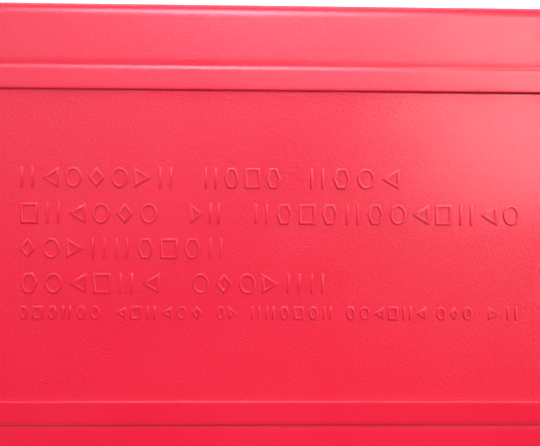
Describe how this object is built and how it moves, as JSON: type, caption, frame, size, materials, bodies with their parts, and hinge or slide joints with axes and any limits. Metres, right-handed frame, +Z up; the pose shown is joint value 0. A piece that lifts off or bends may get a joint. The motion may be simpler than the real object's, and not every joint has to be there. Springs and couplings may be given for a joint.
{
  "type": "folding warning triangle with storage case",
  "caption": "Folding roadside warning triangle on a stand with turning steel legs, with its flat red hinged storage case.",
  "frame": {"origin": "on the ground, at the centre of the floor area of the case and the set-up triangle together", "axes": "+Z up, +X along the case's long side and the triangle's base bar, -Y is the side that drivers see: the case lies in front (-Y) and the triangle stands behind it"},
  "size_m": [0.442, 0.3396, 0.4154],
  "materials": {
    "case_red": "satin moulded",
    "housing_red": "satin moulded",
    "fluorescent_red": "fluorescent sheet",
    "reflector_red": "prismatic",
    "steel": "zinc plated",
    "nylon": "smooth",
    "rubber": "matte"
  },
  "bodies": {
    "case_tray": {"case_tray": "case_red", "lid_hinge_pins": "steel"},
    "case_lid": {"case_lid": "case_red"},
    "base": {"base_housing": "housing_red", "base_fluorescent": "fluorescent_red", "base_reflector": "reflector_red", "left_pivot_rivet": "steel", "left_pivot_washer": "nylon", "right_pivot_rivet": "steel", "right_pivot_spacer": "nylon", "stand_rail": "steel", "rail_studs": "steel", "leg_rivets": "steel", "leg_washers": "nylon"},
    "left_arm": {"left_arm_housing": "housing_red", "left_arm_fluorescent": "fluorescent_red", "left_arm_reflector": "reflector_red"},
    "right_arm": {"right_arm_housing": "housing_red", "right_arm_fluorescent": "fluorescent_red", "right_arm_reflector": "reflector_red", "apex_lock_bush": "nylon"},
    "apex_lock": {"apex_lock_knob": "nylon"},
    "leg_left": {"leg_left": "steel", "leg_left_feet": "rubber"},
    "leg_right": {"leg_right": "steel", "leg_right_feet": "rubber"}
  },
  "joints": [
    {"name": "case_lift", "type": "slide", "parent": "base", "child": "case_tray", "axis": [0, 0, 1], "range_m": [0, 0.3]},
    {"name": "lid_hinge", "type": "hinge", "parent": "case_tray", "child": "case_lid", "pos_m": [0, -0.16762, 0.021], "axis": [1, 0, 0], "range_deg": [0, 180]},
    {"name": "left_arm_fold", "type": "hinge", "parent": "base", "child": "left_arm", "pos_m": [-0.189, 0.06305, 0.063], "axis": [0, 1, 0], "range_deg": [0, 60]},
    {"name": "right_arm_fold", "type": "hinge", "parent": "base", "child": "right_arm", "pos_m": [0.189, 0.06305, 0.063], "axis": [0, -1, 0], "range_deg": [0, 60]},
    {"name": "apex_lock_push", "type": "slide", "parent": "right_arm", "child": "apex_lock", "axis": [0, -1, 0], "range_m": [-0.003, 0]},
    {"name": "leg_left_turn", "type": "hinge", "parent": "base", "child": "leg_left", "pos_m": [-0.108, 0.06505, 0.036], "axis": [0, 0, 1], "range_deg": [0, 90]},
    {"name": "leg_right_turn", "type": "hinge", "parent": "base", "child": "leg_right", "pos_m": [0.108, 0.06505, 0.036], "axis": [0, 0, -1], "range_deg": [0, 90]}
  ]
}
